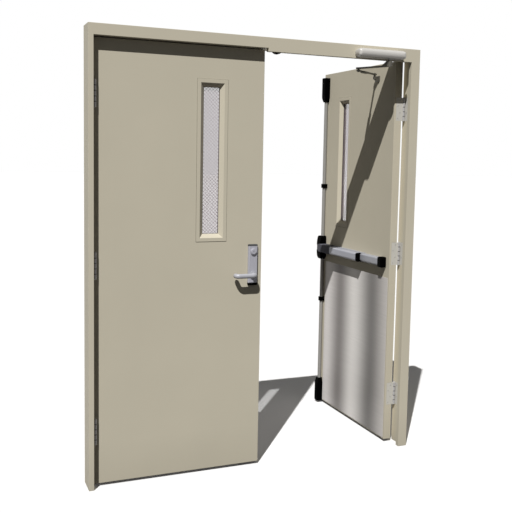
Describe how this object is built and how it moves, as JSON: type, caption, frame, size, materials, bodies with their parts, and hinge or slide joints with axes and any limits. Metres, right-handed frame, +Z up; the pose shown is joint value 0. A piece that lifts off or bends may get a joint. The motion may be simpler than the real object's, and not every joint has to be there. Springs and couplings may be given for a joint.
{
  "type": "double-egress fire door pair in a pressed-steel frame",
  "caption": "Pair of hollow-metal fire doors swinging opposite ways in a pressed-steel frame, with exit devices, closers, wired-glass lites and armour plates.",
  "frame": {"origin": "on the left jamb's wall face, at floor level, in the middle of the frame's depth", "axes": "+X along the frame from the left jamb to the right jamb, +Y to the back, +Z up"},
  "size_m": [1.803, 1.002, 2.208],
  "materials": {
    "frame_paint": "satin beige paint on pressed steel",
    "leaf_paint": "satin beige paint on sheet steel",
    "hinge_steel": "dull plated steel",
    "closer_silver": "sprayed silver",
    "arm_steel": "dark bronze painted arms",
    "black_trim": "black moulded covers",
    "dark_cover": "dark grey painted chassis cover",
    "lite_glass": "wired fire glass",
    "trim_steel": "satin stainless steel",
    "rail_aluminium": "clear anodised aluminium",
    "rod_steel": "satin steel rod",
    "plate_steel": "brushed stainless steel sheet"
  },
  "bodies": {
    "frame": {"left_jamb": "frame_paint", "right_jamb": "frame_paint", "header": "frame_paint", "hinge_frame_plates": "hinge_steel", "hinge_pins": "hinge_steel", "left_closer_body": "closer_silver", "right_closer_body": "closer_silver", "top_strikes": "black_trim"},
    "left_leaf": {"left_slab": "leaf_paint", "left_hinge_door_plates": "hinge_steel", "left_lite_frames": "leaf_paint", "left_lite_glass": "lite_glass", "left_escutcheon": "trim_steel", "left_exit_case": "black_trim", "left_chassis_cover": "dark_cover", "left_exit_rail": "rail_aluminium", "left_touch_bar": "rail_aluminium", "left_rail_caps": "black_trim", "left_latches": "black_trim", "left_rods": "rod_steel", "left_rod_guides": "black_trim", "left_armour_plate": "plate_steel", "left_closer_shoe": "arm_steel"},
    "left_lever": {"left_lever": "trim_steel"},
    "left_closer_arm": {"left_closer_arm": "arm_steel"},
    "left_closer_forearm": {"left_closer_forearm": "arm_steel"},
    "right_leaf": {"right_slab": "leaf_paint", "right_hinge_door_plates": "hinge_steel", "right_lite_frames": "leaf_paint", "right_lite_glass": "lite_glass", "right_escutcheon": "trim_steel", "right_lever": "trim_steel", "right_exit_case": "black_trim", "right_chassis_cover": "dark_cover", "right_exit_rail": "rail_aluminium", "right_rail_caps": "black_trim", "right_latches": "black_trim", "right_rod_guides": "black_trim", "right_armour_plate": "plate_steel", "right_closer_shoe": "arm_steel"},
    "right_touch_bar": {"right_touch_bar": "rail_aluminium"},
    "right_top_rod": {"right_top_rod": "rod_steel"},
    "right_bottom_rod": {"right_bottom_rod": "rod_steel"},
    "right_closer_arm": {"right_closer_arm": "arm_steel"},
    "right_closer_forearm": {"right_closer_forearm": "arm_steel"}
  },
  "joints": [
    {"name": "left_leaf", "type": "hinge", "parent": "frame", "child": "left_leaf", "pos_m": [0.034, -0.035, 1], "axis": [0, 0, -1], "range_deg": [0, 105]},
    {"name": "left_lever", "type": "hinge", "parent": "left_leaf", "child": "left_lever", "pos_m": [0.837, -0.034, 1.012], "axis": [0, -1, 0], "range_deg": [0, 45], "stiffness_Nm_per_rad": 1.5, "springref_deg": -17.19},
    {"name": "left_closer_arm", "type": "hinge", "parent": "frame", "child": "left_closer_arm", "pos_m": [0.207, 0.085, 2.103], "axis": [0, 0, -1], "range_deg": [0, 105]},
    {"name": "left_closer_forearm", "type": "hinge", "parent": "left_closer_arm", "child": "left_closer_forearm", "pos_m": [0.392, 0.1685, 2.103], "axis": [0, 0, -1], "range_deg": [-105, 0]},
    {"name": "right_leaf", "type": "hinge", "parent": "frame", "child": "right_leaf", "pos_m": [1.747, 0.035, 1], "axis": [0, 0, -1], "range_deg": [-90, 15]},
    {"name": "right_touch_bar", "type": "slide", "parent": "right_leaf", "child": "right_touch_bar", "axis": [1, 0, 0], "range_m": [0, 0.012], "stiffness_N_per_m": 900, "springref_m": -0.01},
    {"name": "right_top_rod", "type": "slide", "parent": "right_leaf", "child": "right_top_rod", "axis": [0, 0, -1], "range_m": [0, 0.012]},
    {"name": "right_bottom_rod", "type": "slide", "parent": "right_leaf", "child": "right_bottom_rod", "axis": [0, 0, 1], "range_m": [0, 0.012]},
    {"name": "right_closer_arm", "type": "hinge", "parent": "frame", "child": "right_closer_arm", "pos_m": [1.574, -0.085, 2.103], "axis": [0, 0, -1], "range_deg": [-90, 15]},
    {"name": "right_closer_forearm", "type": "hinge", "parent": "right_closer_arm", "child": "right_closer_forearm", "pos_m": [1.4905, 0.1, 2.103], "axis": [0, 0, -1], "range_deg": [-15, 90]}
  ],
  "couplings": [
    {"joint": "left_closer_arm", "follows": "left_leaf", "ratio": 1},
    {"joint": "left_closer_forearm", "follows": "left_leaf", "ratio": -1},
    {"joint": "right_closer_arm", "follows": "right_leaf", "ratio": 1},
    {"joint": "right_closer_forearm", "follows": "right_leaf", "ratio": -1},
    {"joint": "right_top_rod", "follows": "right_touch_bar", "ratio": 1},
    {"joint": "right_bottom_rod", "follows": "right_touch_bar", "ratio": 1}
  ]
}
